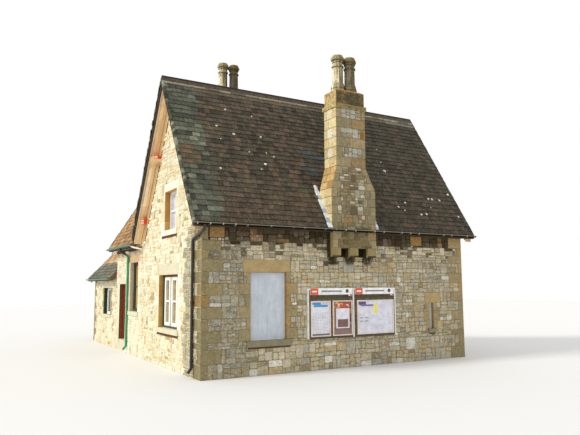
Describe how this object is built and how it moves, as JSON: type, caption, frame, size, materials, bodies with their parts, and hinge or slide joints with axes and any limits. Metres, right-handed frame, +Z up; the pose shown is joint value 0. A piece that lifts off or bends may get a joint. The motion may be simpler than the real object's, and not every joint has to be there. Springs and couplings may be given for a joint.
{
  "type": "railway station building",
  "caption": "Stone railway station house with steep gabled roofs, a corbelled front chimney, a rear wing with a hinged side door and a low range, hollow inside.",
  "frame": {"origin": "middle of the main block's plan at the lowest ground beside its walls, on the underside of the ground floor", "axes": "+X to the right along the front wall, +Y from the front to the rear, +Z up"},
  "size_m": [9.73, 13.1, 10.24],
  "materials": {
    "limestone_rubble": "coursed rubble in lime mortar, weathered",
    "dressed_stone": "dressed ochre blocks, weathered",
    "floor_stone": "worn flags",
    "floor_timber": "plain boards",
    "roof_tile": "dark weathered plain tiles with moss",
    "wing_tile": "orange brown plain tiles",
    "ridge_tile": "dark bedded ridge tiles",
    "verge_timber": "ochre painted boards",
    "purlin_paint": "red painted purlin ends",
    "dark_iron": "black painted, weathered",
    "green_iron": "faded green paint",
    "window_board": "pale painted board",
    "window_paint": "white painted joinery",
    "window_glass": "clear",
    "door_paint": "brown painted boards",
    "door_frame_paint": "off-white painted joinery",
    "notice_frame": "grey painted",
    "notice_header": "white enamel",
    "notice_case": "glazed poster case"
  },
  "bodies": {
    "building": {"front_wall": "limestone_rubble", "rear_wall": "limestone_rubble", "left_gable_wall": "limestone_rubble", "right_gable_wall": "limestone_rubble", "wing_left_wall": "limestone_rubble", "wing_wall_over_door": "limestone_rubble", "wing_right_wall": "limestone_rubble", "wing_end_wall": "limestone_rubble", "low_range_left_wall": "limestone_rubble", "low_range_right_wall": "limestone_rubble", "low_range_end_wall": "limestone_rubble", "front_window_dressings": "dressed_stone", "gable_window_dressings": "dressed_stone", "rear_window_dressings": "dressed_stone", "door_dressings": "dressed_stone", "ground_floor": "floor_stone", "rear_ground_floors": "floor_stone", "upper_floor": "floor_timber", "wing_upper_floor": "floor_timber", "main_roof_front": "roof_tile", "main_roof_rear": "roof_tile", "wing_roof_slopes": "wing_tile", "low_range_roof_slopes": "wing_tile", "ridge_tiles": "ridge_tile", "main_verge_boards": "verge_timber", "rear_verge_boards": "verge_timber", "purlin_ends": "purlin_paint", "front_chimney_corbels": "dressed_stone", "front_chimney_stack": "dressed_stone", "front_chimney_cap": "dressed_stone", "rear_chimney_stack": "dressed_stone", "chimney_pots": "dressed_stone", "main_gutters": "dark_iron", "front_downpipe": "dark_iron", "rear_gutters": "green_iron", "wing_downpipe": "green_iron", "front_window_boards": "window_board", "gable_window_frames": "window_paint", "rear_window_frames": "window_paint", "gable_window_glass": "window_glass", "rear_window_glass": "window_glass", "door_frame": "door_frame_paint", "notice_board_frame": "notice_frame", "notice_headers": "notice_header", "poster_cases": "notice_case"},
    "door": {"door_leaf": "door_paint"}
  },
  "joints": [
    {"name": "side_door_hinge", "type": "hinge", "parent": "building", "child": "door", "pos_m": [-4.246, 5.506, 1.4], "axis": [0, 0, 1], "range_deg": [0, 90]}
  ]
}
